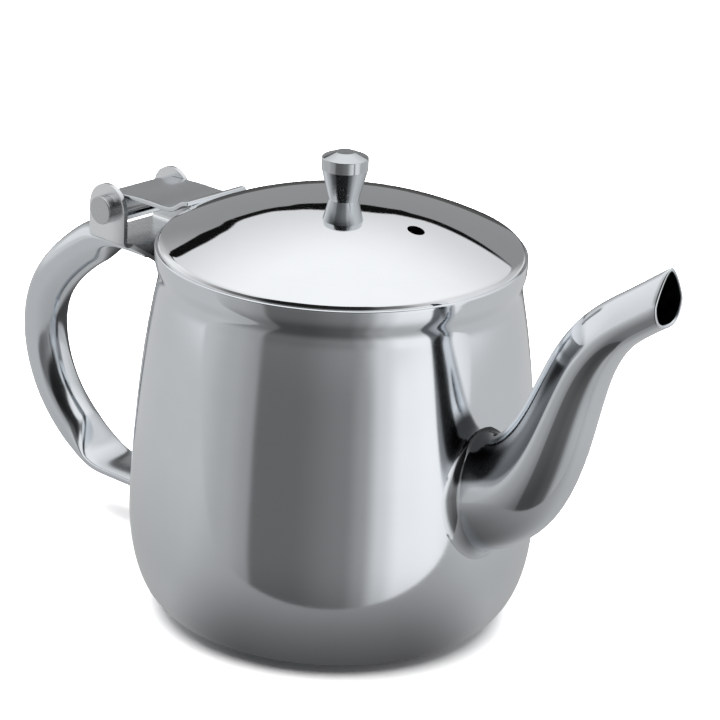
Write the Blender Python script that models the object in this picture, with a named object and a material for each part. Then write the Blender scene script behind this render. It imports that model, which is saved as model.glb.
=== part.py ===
"""Stainless-steel teapot with a hinged lid.

Frame: metres, +Z up.  The origin is the middle of the flat base, on the surface it stands on.
+X points to the spout, -X to the handle and the hinge, and the lid's hinge pin lies along Y.
"""
import math

import bmesh
import bpy
from mathutils import Vector

MM = 0.001
GAP = 0.3            # clearance kept between two pieces that touch, mm
TAU = 2.0 * math.pi

# Driving dimensions, mm -----------------------------------------------------------------------
RIM_Z = 94.0         # top of the collar above the table
RIM_R = 45.0         # outer radius of the collar
NECK_R = 43.3        # outer radius just under the collar
BELLY_R = 50.0       # widest outer radius
BELLY_Z = 29.5       # height of the widest place
BASE_R = 34.0        # radius of the flat base
BASE_CORNER = 2.5    # exponent of the rounding from base to belly
WALL = 0.8           # sheet of the pot
COLLAR_STRAIGHT = 4.2
COLLAR_HEIGHT = 8.0

LID_R = 43.9         # radius of the lid's edge
LID_RISE = 11.3      # lid's middle above the rim
LID_SHEET = 0.7
LID_EDGE = 0.9       # drop of the rounding between the dome and the skirt
LID_SKIRT = 4.7      # depth of the turned-down edge
LID_SKIRT_DRAFT = 0.7
VENT_R = 2.1
VENT_POLAR = (22.0, 5.0)    # distance from the axis, mm, and angle from +X, degrees

KNOB_H = 12.1
KNOB_FACE_R = 2.4    # flat top
KNOB_HEAD_R = 5.65
KNOB_CHAMFER = 1.35  # drops from the knob's top: to the foot of the chamfer,
KNOB_HEAD_END = 4.2  # and to the end of the straight head
KNOB_FOOT_R = 3.5
TAP_DEPTH = 6.5      # threaded hole in the knob's foot
TAP_POINT = 0.6
SCREW_R = 1.5
SCREW_REACH = 8.0
SCREW_HEAD_R = 3.1
SCREW_HEAD_T = 2.2
WASHER_R = 5.0
WASHER_T = 1.0

PIN_X = -70.3        # hinge pin, from the axis of the pot
PIN_Z = RIM_Z - 6.2
PIN_R = 2.6
PIN_HEAD_R = 3.65
PIN_HEAD_T = 2.2
BRACKET_HALF_W = 11.7
BRACKET_SHEET = 1.2
WEB_DROP = 2.0       # the web's slope from the ears down to the neck
EAR_R = 6.4
EAR_FOOT = 0.4       # the ear is a little wider at its foot
WEB_BOTTOM_Z = RIM_Z - 15.5
LEAF_SHEET = 1.1
KNUCKLE_R = 4.2      # outer radius of the rolled end of the leaf

TUBE_R = 5.7         # handle tube
TUBE_WALL = 1.0
TAB_W = 14.4         # width of the tube where it is pressed flat
TAB_T = 2.4
TAB_SLIT = 0.3
HANDLE_LINE = (      # middle of the tube (x, z), from the neck round to the belly
    (-61.0, RIM_Z - 17.1), (-71.0, RIM_Z - 17.2), (-80.0, RIM_Z - 18.8), (-88.5, RIM_Z - 23.0),
    (-98.8, RIM_Z - 31.9), (-105.0, RIM_Z - 42.5), (-105.3, RIM_Z - 54.5), (-100.3, RIM_Z - 66.0),
    (-91.5, RIM_Z - 74.7), (-81.5, RIM_Z - 80.2), (-70.0, RIM_Z - 80.9), (-43.0, RIM_Z - 81.1),
)

SPOUT_WALL = 0.8
SPOUT_ROOT_Z = RIM_Z - 47.5
MOUTH_X = 99.7       # plane that the mouth is cut to
SPOUT_STATIONS = (   # middle of the pipe (x, z), height across the pipe and width along Y
    (40.0, SPOUT_ROOT_Z - 1.0, 36.0, 22.5),
    (50.0, SPOUT_ROOT_Z + 0.0, 31.5, 21.0),
    (60.0, SPOUT_ROOT_Z + 5.5, 25.0, 19.0),
    (68.3, SPOUT_ROOT_Z + 19.0, 19.5, 17.0),
    (75.3, SPOUT_ROOT_Z + 37.5, 15.6, 14.0),
    (83.2, SPOUT_ROOT_Z + 49.2, 12.6, 11.6),
    (92.0, SPOUT_ROOT_Z + 56.3, 11.6, 10.4),
    (106.0, SPOUT_ROOT_Z + 66.2, 12.0, 10.0),
)
OVAL_TAPER = 0.16    # how much narrower the pipe's section is on top

STRAINER_HOLE_R = 1.8
STRAINER_PITCH = 5.2
STRAINER_X = 47.0    # middle of the punched wall

LIP_ROUND = 0.25     # rounding of the collar's edge
TRIM_REACH = 50.0    # how far a trimming tool runs past what it trims


# Small tools ----------------------------------------------------------------------------------
def material(name, colour, roughness, metallic=1.0):
    mat = bpy.data.materials.new(name)
    mat.use_nodes = True
    shader = mat.node_tree.nodes["Principled BSDF"]
    shader.inputs["Base Color"].default_value = (*colour, 1.0)
    shader.inputs["Roughness"].default_value = roughness
    shader.inputs["Metallic"].default_value = metallic
    return mat


def finish_mesh(name, bm, mat, sharp=35.0):
    """Turn a bmesh given in mm into a named object, outward faces and smooth round sides."""
    bmesh.ops.remove_doubles(bm, verts=bm.verts[:], dist=1e-5)
    bmesh.ops.recalc_face_normals(bm, faces=bm.faces[:])
    bmesh.ops.scale(bm, vec=(MM, MM, MM), verts=bm.verts[:])
    mesh = bpy.data.meshes.new(name)
    bm.to_mesh(mesh)
    bm.free()
    mesh.materials.append(mat)
    mesh.shade_smooth()
    mesh.set_sharp_from_angle(angle=math.radians(sharp))
    obj = bpy.data.objects.new(name, mesh)
    bpy.context.scene.collection.objects.link(obj)
    return obj


def turned(name, profile, mat, segments=56, along="Z", centre=(0.0, 0.0, 0.0), sharp=35.0):
    """Spin a closed (radius, height) outline about Z, or about Y for a pin."""
    bm = bmesh.new()
    verts = [bm.verts.new((r, 0.0, z)) for r, z in profile]
    edges = [bm.edges.new((verts[i], verts[(i + 1) % len(verts)])) for i in range(len(verts))
             if not (profile[i][0] < 1e-6 and profile[(i + 1) % len(verts)][0] < 1e-6)]
    bmesh.ops.spin(bm, geom=verts + edges, cent=(0, 0, 0), axis=(0, 0, 1), angle=TAU,
                   steps=segments, use_merge=True)
    if along == "Y":
        for v in bm.verts:
            v.co = Vector((v.co.x, v.co.z, v.co.y))
    bmesh.ops.translate(bm, vec=centre, verts=bm.verts[:])
    return finish_mesh(name, bm, mat, sharp)


def ring_loft(name, rings, mat, sharp=35.0):
    """Bridge a closed chain of rings, so a pipe's outside, ends and bore are one skin."""
    bm = bmesh.new()
    loops = [[bm.verts.new(p) for p in ring] for ring in rings]
    count = len(loops[0])
    for a, b in zip(loops, loops[1:] + loops[:1]):
        for i in range(count):
            j = (i + 1) % count
            bm.faces.new((a[i], a[j], b[j], b[i]))
    return finish_mesh(name, bm, mat, sharp)


def prism(name, outline, y0, y1, mat, sharp=35.0):
    """Extrude an (x, z) outline along Y."""
    bm = bmesh.new()
    face = bm.faces.new([bm.verts.new((x, y0, z)) for x, z in outline])
    moved = bmesh.ops.extrude_face_region(bm, geom=[face])["geom"]
    bmesh.ops.translate(bm, vec=(0, y1 - y0, 0),
                        verts=[g for g in moved if isinstance(g, bmesh.types.BMVert)])
    return finish_mesh(name, bm, mat, sharp)


def cut(obj, cutter, operation="DIFFERENCE"):
    mod = obj.modifiers.new(operation.lower(), "BOOLEAN")
    mod.operation = operation
    mod.solver = "EXACT"
    mod.object = cutter
    cutter.hide_render = True
    cutter.display_type = "WIRE"


def offset(outline, distance):
    """Move an open (radius, height) outline sideways, to the left of its direction."""
    moved = []
    last = len(outline) - 1
    for i, (r, z) in enumerate(outline):
        r0, z0 = outline[max(i - 1, 0)]
        r1, z1 = outline[min(i + 1, last)]
        length = math.hypot(r1 - r0, z1 - z0)
        moved.append((r - (z1 - z0) / length * distance, z + (r1 - r0) / length * distance))
    return moved


def smooth_step(t):
    t = min(max(t, 0.0), 1.0)
    return t * t * (3.0 - 2.0 * t)


def spline(points, t):
    """Catmull-Rom curve through the points; t runs from 0 to 1."""
    spans = len(points) - 1
    i = min(int(t * spans), spans - 1)
    u = t * spans - i
    p1, p2 = points[i], points[i + 1]
    p0 = points[i - 1] if i > 0 else tuple(2 * a - b for a, b in zip(p1, p2))
    p3 = points[i + 2] if i + 2 <= spans else tuple(2 * b - a for a, b in zip(p1, p2))
    return tuple(0.5 * (2 * b + (c - a) * u + (2 * a - 5 * b + 4 * c - d) * u * u
                        + (3 * b - a - 3 * c + d) * u ** 3)
                 for a, b, c, d in zip(p0, p1, p2, p3))


def strip(centre_line, thickness):
    """Closed outline of a sheet of even thickness bent along an open (x, z) line."""
    return offset(centre_line, thickness / 2) + offset(centre_line, -thickness / 2)[::-1]


# Pot ------------------------------------------------------------------------------------------
def body_radius(z):
    """Outer radius of the deep-drawn body at height z, below the collar's step."""
    if z >= BELLY_Z:
        t = (z - BELLY_Z) / (RIM_Z - COLLAR_HEIGHT - BELLY_Z)
        return BELLY_R - (BELLY_R - NECK_R) * (0.45 * t + 0.55 * t ** 2.8)
    t = (BELLY_Z - z) / BELLY_Z
    return BASE_R + (BELLY_R - BASE_R) * (1.0 - t ** BASE_CORNER) ** (1 / BASE_CORNER)


def body_outline():
    """Outer side of the pot from the middle of the base up to the lip."""
    outline = [(0.0, 0.0), (BASE_R * 0.6, 0.0)]
    for i in range(9):
        a = math.radians(90.0 * i / 8)
        z = BELLY_Z * (1.0 - max(math.cos(a), 0.0) ** (2 / BASE_CORNER))
        outline.append((body_radius(z), z))
    neck_z = RIM_Z - COLLAR_HEIGHT
    outline += [(body_radius(z), z) for z in (BELLY_Z + (neck_z - BELLY_Z) * i / 8 for i in range(1, 9))]
    for i in range(1, 5):
        t = i / 4
        outline.append((NECK_R + (RIM_R - NECK_R) * smooth_step(t),
                        neck_z + (COLLAR_HEIGHT - COLLAR_STRAIGHT) * t))
    outline.append((RIM_R, RIM_Z - LIP_ROUND))
    return outline


def body_clearance(extra=GAP):
    """Solid of the body's outer shape, a little larger, that trims what is welded to the pot."""
    outer = offset(body_outline()[2:], -extra)
    profile = [(0.0, -extra)] + outer + [(RIM_R + extra, RIM_Z + 1.0), (0.0, RIM_Z + 1.0)]
    return turned("body_clearance", profile, STEEL, segments=96)


def pot_body():
    outer = body_outline()
    inner = offset(outer, WALL)
    inner[0] = (0.0, WALL)
    lip = [(RIM_R - LIP_ROUND, RIM_Z), (RIM_R - WALL + LIP_ROUND, RIM_Z)]
    profile = outer + lip + inner[::-1]
    pot = turned("pot_body", profile, STEEL, segments=64)
    cut(pot, strainer_punches())
    return pot


def strainer_punches():
    """The punches of the strainer: holes in the wall that the spout covers."""
    bm = bmesh.new()
    for row in range(4):
        z = SPOUT_ROOT_Z + (row - 1.5) * STRAINER_PITCH
        columns = (-0.5, 0.5) if row % 2 == 0 else (-1.0, 0.0, 1.0)
        for column in columns:
            made = bmesh.ops.create_cone(bm, cap_ends=True, segments=10, radius1=STRAINER_HOLE_R,
                                         radius2=STRAINER_HOLE_R, depth=16.0)["verts"]
            for v in made:
                v.co = Vector((v.co.z + STRAINER_X, v.co.x + column * STRAINER_PITCH, v.co.y + z))
    return finish_mesh("strainer_punches", bm, STEEL)


# Spout ----------------------------------------------------------------------------------------
def oval(count, half_h, half_w):
    """Pipe section, a little narrower on top; returns (across, sideways) pairs."""
    pairs = []
    for i in range(count):
        a = TAU * i / count
        across = math.sin(a)
        side = math.cos(a) * (1.0 - OVAL_TAPER * max(across, 0.0))
        pairs.append((across * half_h, side * half_w))
    return pairs


def pipe_rings(stations, steps, shrink):
    """Rings square to a curved middle line in the XZ plane."""
    rings = []
    for k in range(steps + 1):
        t = k / steps
        x, z, height, width = spline(stations, t)
        ahead = spline(stations, min(t + 0.01, 1.0))
        behind = spline(stations, max(t - 0.01, 0.0))
        dx, dz = ahead[0] - behind[0], ahead[1] - behind[1]
        length = math.hypot(dx, dz)
        nx, nz = -dz / length, dx / length
        ring = []
        for across, side in oval(24, height / 2 - shrink, width / 2 - shrink):
            ring.append((x + nx * across, side, z + nz * across))
        rings.append(ring)
    return rings


def spout():
    outer = pipe_rings(SPOUT_STATIONS, 20, 0.0)
    bore = pipe_rings(SPOUT_STATIONS, 20, SPOUT_WALL)
    pipe = ring_loft("spout", outer + bore[::-1], STEEL)
    cut(pipe, body_clearance())
    corners = [(MOUTH_X, RIM_Z - TRIM_REACH), (MOUTH_X + TRIM_REACH, RIM_Z - TRIM_REACH),
               (MOUTH_X + TRIM_REACH, RIM_Z + TRIM_REACH), (MOUTH_X, RIM_Z + TRIM_REACH)]
    trim = prism("mouth_trim", corners, -TRIM_REACH, TRIM_REACH, STEEL)
    cut(pipe, trim)
    return pipe


# Handle ---------------------------------------------------------------------------------------
def handle():
    """Bent tube whose two ends are pressed flat, with a thin slit left between the walls."""
    steps = 34
    count = 20

    def ring(t, shrink):
        x, z = spline(HANDLE_LINE, t)
        ahead = spline(HANDLE_LINE, min(t + 0.01, 1.0))
        behind = spline(HANDLE_LINE, max(t - 0.01, 0.0))
        dx, dz = ahead[0] - behind[0], ahead[1] - behind[1]
        length = math.hypot(dx, dz)
        nx, nz = -dz / length, dx / length
        round_part = smooth_step((t - 0.10) / 0.16) * smooth_step((0.82 - t) / 0.12)
        flat_h = TAB_T / 2 if shrink == 0 else TAB_SLIT / 2
        flat_w = TAB_W / 2 - (1.1 * shrink)
        half_h = flat_h + (TUBE_R - shrink - flat_h) * round_part
        half_w = flat_w + (TUBE_R - shrink - flat_w) * round_part
        power = 0.55 + 0.45 * round_part
        points = []
        for i in range(count):
            a = TAU * i / count
            s, c = math.sin(a), math.cos(a)
            across = math.copysign(abs(s) ** power, s) * half_h
            points.append((x + nx * across, c * half_w, z + nz * across))
        return points

    outer = [ring(k / steps, 0.0) for k in range(steps + 1)]
    bore = [ring(k / steps, TUBE_WALL) for k in range(steps + 1)]
    tube = ring_loft("handle", outer + bore[::-1], SATIN_STEEL)
    cut(tube, body_clearance())
    return tube


# Hinge ----------------------------------------------------------------------------------------
def ear_outline():
    """Ear of the bracket: straight sides under a round top about the pin."""
    arc = [(PIN_X + EAR_R * math.cos(math.radians(a)), PIN_Z + EAR_R * math.sin(math.radians(a)))
           for a in range(0, 181, 15)]
    return [(PIN_X + EAR_R + EAR_FOOT, WEB_BOTTOM_Z)] + arc + [(PIN_X - EAR_R, WEB_BOTTOM_Z)]


def hinge_bracket():
    """U-shaped bracket: a web welded to the neck and two ears folded up from it."""
    web_mid = WEB_BOTTOM_Z + BRACKET_SHEET / 2
    line = [(PIN_X - EAR_R, web_mid), (PIN_X + EAR_R + BRACKET_SHEET, web_mid),
            (-NECK_R + WALL, web_mid - WEB_DROP)]
    bracket = prism("hinge_bracket", strip(line, BRACKET_SHEET), -BRACKET_HALF_W, BRACKET_HALF_W,
                    SATIN_STEEL)
    for side, name in ((-1, "ear_left_blank"), (1, "ear_right_blank")):
        inner = BRACKET_HALF_W - BRACKET_SHEET
        ear = prism(name, ear_outline(), side * inner, side * BRACKET_HALF_W, SATIN_STEEL)
        cut(bracket, ear, "UNION")
    hole_r = PIN_R + GAP
    drill = turned("bracket_drill", [(0, -TRIM_REACH), (hole_r, -TRIM_REACH),
                                     (hole_r, TRIM_REACH), (0, TRIM_REACH)], STEEL,
                   segments=24, along="Y", centre=(PIN_X, 0, PIN_Z))
    cut(bracket, drill)
    cut(bracket, body_clearance())
    return bracket


def hinge_rivet():
    """Rivet that the lid swings on: flat head on the near side, closed head on the far side."""
    seat = BRACKET_HALF_W + GAP
    profile = [(0.0, -seat - PIN_HEAD_T), (PIN_HEAD_R - 0.4, -seat - PIN_HEAD_T),
               (PIN_HEAD_R, -seat - PIN_HEAD_T + 0.4), (PIN_HEAD_R, -seat), (PIN_R, -seat),
               (PIN_R, seat), (PIN_HEAD_R, seat), (PIN_HEAD_R - 0.3, seat + 0.9),
               (PIN_HEAD_R - 1.5, seat + 1.5), (0.0, seat + 1.7)]
    return turned("hinge_rivet", profile, STEEL, segments=32, along="Y", centre=(PIN_X, 0, PIN_Z))


def lid_leaf():
    """Hinge leaf: rolled round the rivet, dished, its front lip welded on the edge of the dome."""
    mid_r = KNUCKLE_R - LEAF_SHEET / 2
    line = [(PIN_X + mid_r * math.cos(math.radians(a)), PIN_Z + mid_r * math.sin(math.radians(a)))
            for a in range(-60, -271, -15)]
    top = PIN_Z + mid_r
    line += [(PIN_X + 3.0, top + 0.15), (-60.0, RIM_Z - 1.8), (-53.0, RIM_Z - 1.75),
             (-49.5, RIM_Z - 1.5), (-47.6, RIM_Z - 0.8), (-45.6, RIM_Z + 0.75),
             (-44.2, RIM_Z + 1.35), (-42.9, RIM_Z + 1.5)]
    half_w = BRACKET_HALF_W - BRACKET_SHEET - GAP
    return prism("lid_leaf", strip(line, LEAF_SHEET), -half_w, half_w, SATIN_STEEL)


# Lid ------------------------------------------------------------------------------------------
def lid_height(r):
    """Height of the lid's outer face above the rim."""
    return LID_RISE * (1.0 - (r / LID_R) ** 2)


def lid_shell():
    hole_r = SCREW_R + GAP
    edge_r = LID_R - 0.3 * LID_EDGE
    outer = []
    for i in range(17):
        r = hole_r + (edge_r - hole_r) * i / 16
        outer.append((r, RIM_Z + lid_height(r)))
    outer.append((LID_R, RIM_Z - LID_EDGE / 2))
    outer.append((LID_R, RIM_Z - LID_EDGE))
    outer.append((LID_R - LID_SKIRT_DRAFT, RIM_Z - LID_SKIRT))
    inner = offset(outer, -LID_SHEET)
    inner[0] = (hole_r, inner[0][1])
    inner[-1] = (outer[-1][0] - LID_SHEET, outer[-1][1])
    shell = turned("lid_shell", outer + inner[::-1], POLISHED_STEEL, segments=64)
    r, a = VENT_POLAR
    x, y = r * math.cos(math.radians(a)), r * math.sin(math.radians(a))
    low, high = RIM_Z - LID_SKIRT, RIM_Z + TRIM_REACH
    drill = turned("vent_drill", [(0, low), (VENT_R, low), (VENT_R, high), (0, high)], STEEL,
                   segments=20, centre=(x, y, 0))
    cut(shell, drill)
    return shell


def lid_knob():
    """Turned knob: chamfered head over a cone that narrows to the foot, tapped from below."""
    foot = RIM_Z + LID_RISE + GAP
    top = foot + KNOB_H
    bore = SCREW_R + GAP
    profile = [(0.0, top), (KNOB_FACE_R, top), (KNOB_HEAD_R, top - KNOB_CHAMFER),
               (KNOB_HEAD_R, top - KNOB_HEAD_END), (KNOB_FOOT_R, foot), (bore, foot),
               (bore, foot + TAP_DEPTH), (0.0, foot + TAP_DEPTH + TAP_POINT)]
    return turned("lid_knob", profile, TURNED_STEEL, segments=32)


def knob_screw():
    """Pan-head screw that holds the knob from inside the lid."""
    seat = RIM_Z + LID_RISE - LID_SHEET - GAP - WASHER_T - GAP
    profile = [(0.0, seat - SCREW_HEAD_T), (2.0, seat - SCREW_HEAD_T + 0.1),
               (SCREW_HEAD_R, seat - SCREW_HEAD_T / 2), (SCREW_HEAD_R, seat), (SCREW_R, seat),
               (SCREW_R, seat + SCREW_REACH), (0.0, seat + SCREW_REACH)]
    return turned("knob_screw", profile, STEEL, segments=24)


def knob_washer():
    top = RIM_Z + LID_RISE - LID_SHEET - GAP
    inner = SCREW_R + GAP
    profile = [(inner, top), (WASHER_R, top), (WASHER_R, top - WASHER_T), (inner, top - WASHER_T)]
    return turned("knob_washer", profile, STEEL, segments=32)


for old in list(bpy.data.objects):
    bpy.data.objects.remove(old, do_unlink=True)

STEEL = material("pressed_steel", (0.56, 0.57, 0.58), 0.22)
SATIN_STEEL = material("satin_steel", (0.56, 0.57, 0.58), 0.34)
POLISHED_STEEL = material("polished_steel", (0.62, 0.63, 0.64), 0.14)
TURNED_STEEL = material("turned_steel", (0.50, 0.51, 0.52), 0.26)

for make in (pot_body, spout, handle, hinge_bracket, hinge_rivet, lid_shell, lid_leaf, lid_knob,
             knob_screw, knob_washer):
    make()
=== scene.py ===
"""Looks of the stainless-steel teapot with a hinged lid.

Each CAD node is replaced by a fine mesh of the same piece, riding on the same body, in a procedural steel.
The frame is the CAD's: +Z up, +X to the spout, the lid's rivet along Y.  Lengths here are in millimetres and
become metres when a mesh is written.
"""
import math

import bmesh
import bpy
import numpy as np
from mathutils import Matrix, Vector


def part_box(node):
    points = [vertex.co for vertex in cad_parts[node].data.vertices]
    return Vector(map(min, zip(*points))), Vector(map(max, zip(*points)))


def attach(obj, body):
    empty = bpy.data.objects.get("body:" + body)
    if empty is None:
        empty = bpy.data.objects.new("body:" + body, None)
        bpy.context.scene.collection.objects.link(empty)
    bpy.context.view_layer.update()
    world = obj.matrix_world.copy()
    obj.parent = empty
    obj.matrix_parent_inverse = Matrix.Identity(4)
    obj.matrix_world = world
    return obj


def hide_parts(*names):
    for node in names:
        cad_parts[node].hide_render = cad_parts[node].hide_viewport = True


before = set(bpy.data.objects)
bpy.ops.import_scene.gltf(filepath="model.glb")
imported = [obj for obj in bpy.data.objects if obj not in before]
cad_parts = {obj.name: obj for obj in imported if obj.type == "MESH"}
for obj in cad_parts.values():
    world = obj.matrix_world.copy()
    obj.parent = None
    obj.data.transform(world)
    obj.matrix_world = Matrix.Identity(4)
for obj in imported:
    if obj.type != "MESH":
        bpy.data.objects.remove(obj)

MM = 0.001
TAU = 2.0 * math.pi
SHARP_ANGLE = 50.0   # edges that turn more than this, in degrees, are drawn sharp
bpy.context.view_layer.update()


def corners(node):
    """Lowest and highest corner of a CAD node, in mm."""
    low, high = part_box(node)
    return low / MM, high / MM


# Sizes taken from the frame -----------------------------------------------------------------------
POT_HIGH = corners("pot_body")[1]
SPOUT_HIGH = corners("spout")[1]
LID_HIGH = corners("lid_shell")[1]
KNOB_HIGH = corners("lid_knob")[1]
RIVET_LOW, RIVET_HIGH = corners("hinge_rivet")
BRACKET_HIGH = corners("hinge_bracket")[1]
LEAF_HIGH = corners("lid_leaf")[1]
SCREW_LOW, SCREW_HIGH = corners("knob_screw")
WASHER_LOW, WASHER_HIGH = corners("knob_washer")

RIM_Z = POT_HIGH.z
BELLY_R = POT_HIGH.x
LID_R = LID_HIGH.x
LID_RISE = LID_HIGH.z - RIM_Z
MOUTH_X = SPOUT_HIGH.x
PIN_X = (RIVET_LOW.x + RIVET_HIGH.x) / 2
PIN_Z = (RIVET_LOW.z + RIVET_HIGH.z) / 2
PIN_HEAD_R = (RIVET_HIGH.z - RIVET_LOW.z) / 2
BRACKET_HALF_W = BRACKET_HIGH.y
LEAF_HALF_W = LEAF_HIGH.y

# Sizes of the CAD source, and where a comment says so the visual's own ----------------------------
GAP = 0.3
RIM_R = 45.0
NECK_R = 43.3
NECK_SKIN_R = 43.8   # the visual's own: a neck 0.5 mm fuller than the CAD's
BELLY_Z = 29.5
BASE_R = 34.0
BASE_CORNER = 2.5
WALL = 0.8
COLLAR_STRAIGHT = 4.2
COLLAR_HEIGHT = 8.0
LIP_DROP = 0.5       # the visual's own: the lip ends this far below the CAD's, so the lid's edge shows

LID_SHEET = 0.7
LID_SKIRT = 4.7
LID_SKIRT_DRAFT = 0.7
LID_EDGE = 0.9       # rounding where the dome turns down into the skirt
VENT_R = 2.1
VENT_POLAR = (22.0, 5.0)

KNOB_FACE_R = 2.4
KNOB_CHAMFER = 1.35
KNOB_HEAD_END = 4.2
KNOB_FOOT_R = 3.5

PIN_R = 2.6
PIN_HEAD_T = 2.2
BRACKET_SHEET = 1.2
EAR_R = 6.4
WEB_MID_Z = RIM_Z - 14.9
WEB_DROP = 2.0
LEAF_SHEET = 1.1
KNUCKLE_R = 4.2

TUBE_R = 5.7
TUBE_WALL = 1.0
TAB_W = 14.4
TAB_T = 2.4
TAB_SLIT = 0.3
HANDLE_LINE = (      # middle of the tube (x, z), from the neck round to the belly
    (-61.0, RIM_Z - 17.1), (-71.0, RIM_Z - 17.2), (-80.0, RIM_Z - 18.8), (-88.5, RIM_Z - 23.0),
    (-98.8, RIM_Z - 31.9), (-105.0, RIM_Z - 42.5), (-105.3, RIM_Z - 54.5), (-100.3, RIM_Z - 66.0),
    (-91.5, RIM_Z - 74.7), (-81.5, RIM_Z - 80.2), (-70.0, RIM_Z - 80.9), (-43.0, RIM_Z - 81.1),
)

SPOUT_WALL = 0.8
SPOUT_ROOT_Z = RIM_Z - 47.5
SPOUT_STATIONS = (   # middle of the pipe (x, z), height across it (the visual's own at the root), width
    (40.0, SPOUT_ROOT_Z - 1.0, 33.6, 22.5),
    (50.0, SPOUT_ROOT_Z + 0.0, 29.6, 21.0),
    (60.0, SPOUT_ROOT_Z + 5.5, 24.6, 19.0),
    (68.3, SPOUT_ROOT_Z + 19.0, 19.5, 17.0),
    (75.3, SPOUT_ROOT_Z + 37.5, 15.6, 14.0),
    (83.2, SPOUT_ROOT_Z + 49.2, 12.6, 11.6),
    (92.0, SPOUT_ROOT_Z + 56.3, 11.6, 10.4),
    (106.0, SPOUT_ROOT_Z + 66.2, 12.0, 10.0),
)
STRAINER_HOLE_R = 1.8
STRAINER_PITCH = 5.2
STRAINER_X = 47.0

# The view and the light ---------------------------------------------------------------------------
CAMERA_AZIMUTH = math.radians(42.6)
CAMERA_ELEVATION = math.radians(20.82)
CAMERA_ROLL = math.radians(2.43)
CAMERA_DISTANCE = 853.7
CAMERA_AIM = (4.1, 3.7, 64.8)
CAMERA_LENS = 175.4
TABLE_FRONT = 78.0   # the reflected table ends this far in front of the pot's axis


# Curves -------------------------------------------------------------------------------------------
def smooth_step(t):
    t = min(max(t, 0.0), 1.0)
    return t * t * (3.0 - 2.0 * t)


def bell(x, width):
    return math.exp(-(x / width) ** 2)


def smooth_curve(points):
    """Natural cubic spline through the points; returns a function of t from 0 to 1."""
    p = np.array(points, float)
    spans = len(p) - 1
    system = np.eye(spans + 1)
    right = np.zeros_like(p)
    for i in range(1, spans):
        system[i, i - 1:i + 2] = (1.0, 4.0, 1.0)
        right[i] = 6.0 * (p[i - 1] - 2.0 * p[i] + p[i + 1])
    bend = np.linalg.solve(system, right)

    def at(t):
        i = min(max(int(t * spans), 0), spans - 1)
        u = t * spans - i
        v = 1.0 - u
        return (v * p[i] + u * p[i + 1]
                + ((v ** 3 - v) * bend[i] + (u ** 3 - u) * bend[i + 1]) / 6.0)
    return at


def resample(outline, spacing):
    """The same open line with evenly spaced points."""
    p = np.array(outline, float)
    along = np.concatenate([[0.0], np.cumsum(np.linalg.norm(np.diff(p, axis=0), axis=1))])
    count = max(int(round(along[-1] / spacing)), 2)
    wanted = np.linspace(0.0, along[-1], count + 1)
    return np.stack([np.interp(wanted, along, p[:, k]) for k in range(p.shape[1])], axis=1)


def relax(line, passes, weight=None):
    """Smooth a line in place between its ends; weight says how much each point may move."""
    line = np.array(line, float)
    share = np.ones(len(line)) if weight is None else np.array(weight, float)
    for _ in range(passes):
        middle = (line[:-2] + line[2:]) / 2
        line[1:-1] += 0.5 * share[1:-1, None] * (middle - line[1:-1])
    return line


def normals_left(line):
    """Unit normals to the left of an open line's direction."""
    step = np.gradient(np.array(line, float), axis=0)
    step /= np.linalg.norm(step, axis=1)[:, None]
    return np.stack([-step[:, 1], step[:, 0]], axis=1)


def rounded(points, radius, steps=5, closed=False):
    """An outline with its corners rounded; radius is one number, or one for each point."""
    count = len(points)
    radii = [radius] * count if isinstance(radius, (int, float)) else list(radius)
    made = []
    for i, (x, y) in enumerate(points):
        if (not closed and i in (0, count - 1)) or radii[i] <= 0.0:
            made.append((x, y))
            continue
        here = np.array((x, y), float)
        before = np.array(points[i - 1], float) - here
        after = np.array(points[(i + 1) % count], float) - here
        reach = (np.linalg.norm(before), np.linalg.norm(after))
        before /= reach[0]
        after /= reach[1]
        turn = math.pi - math.acos(max(-1.0, min(1.0, float(before @ after))))
        cut = min(radii[i] * math.tan(turn / 2), 0.45 * min(reach))
        for k in range(steps + 1):
            u = k / steps
            offset = (1 - u) ** 2 * before * cut + u ** 2 * after * cut
            made.append(tuple(here + offset))
    return made


# Meshes -------------------------------------------------------------------------------------------
def finish_mesh(name, bm, mat, sharp=SHARP_ANGLE):
    """Write a bmesh given in mm as a named piece, smooth except along its sharp edges."""
    bmesh.ops.remove_doubles(bm, verts=bm.verts[:], dist=1e-5)
    bmesh.ops.recalc_face_normals(bm, faces=bm.faces[:])
    bmesh.ops.scale(bm, vec=(MM, MM, MM), verts=bm.verts[:])
    mesh = bpy.data.meshes.new(name)
    bm.to_mesh(mesh)
    bm.free()
    mesh.materials.append(mat)
    mesh.shade_smooth()
    mesh.set_sharp_from_angle(angle=math.radians(sharp))
    piece = bpy.data.objects.new(name, mesh)
    bpy.context.scene.collection.objects.link(piece)
    return piece


def ring_skin(name, rings, mat, sharp=SHARP_ANGLE):
    """Skin over a closed chain of closed rings, such as a pipe's outside, its mouth and its bore."""
    bm = bmesh.new()
    loops = [[bm.verts.new(p) for p in ring] for ring in rings]
    count = len(loops[0])
    for a, b in zip(loops, loops[1:] + loops[:1]):
        for i in range(count):
            j = (i + 1) % count
            bm.faces.new((a[i], a[j], b[j], b[i]))
    return finish_mesh(name, bm, mat, sharp)


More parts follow.
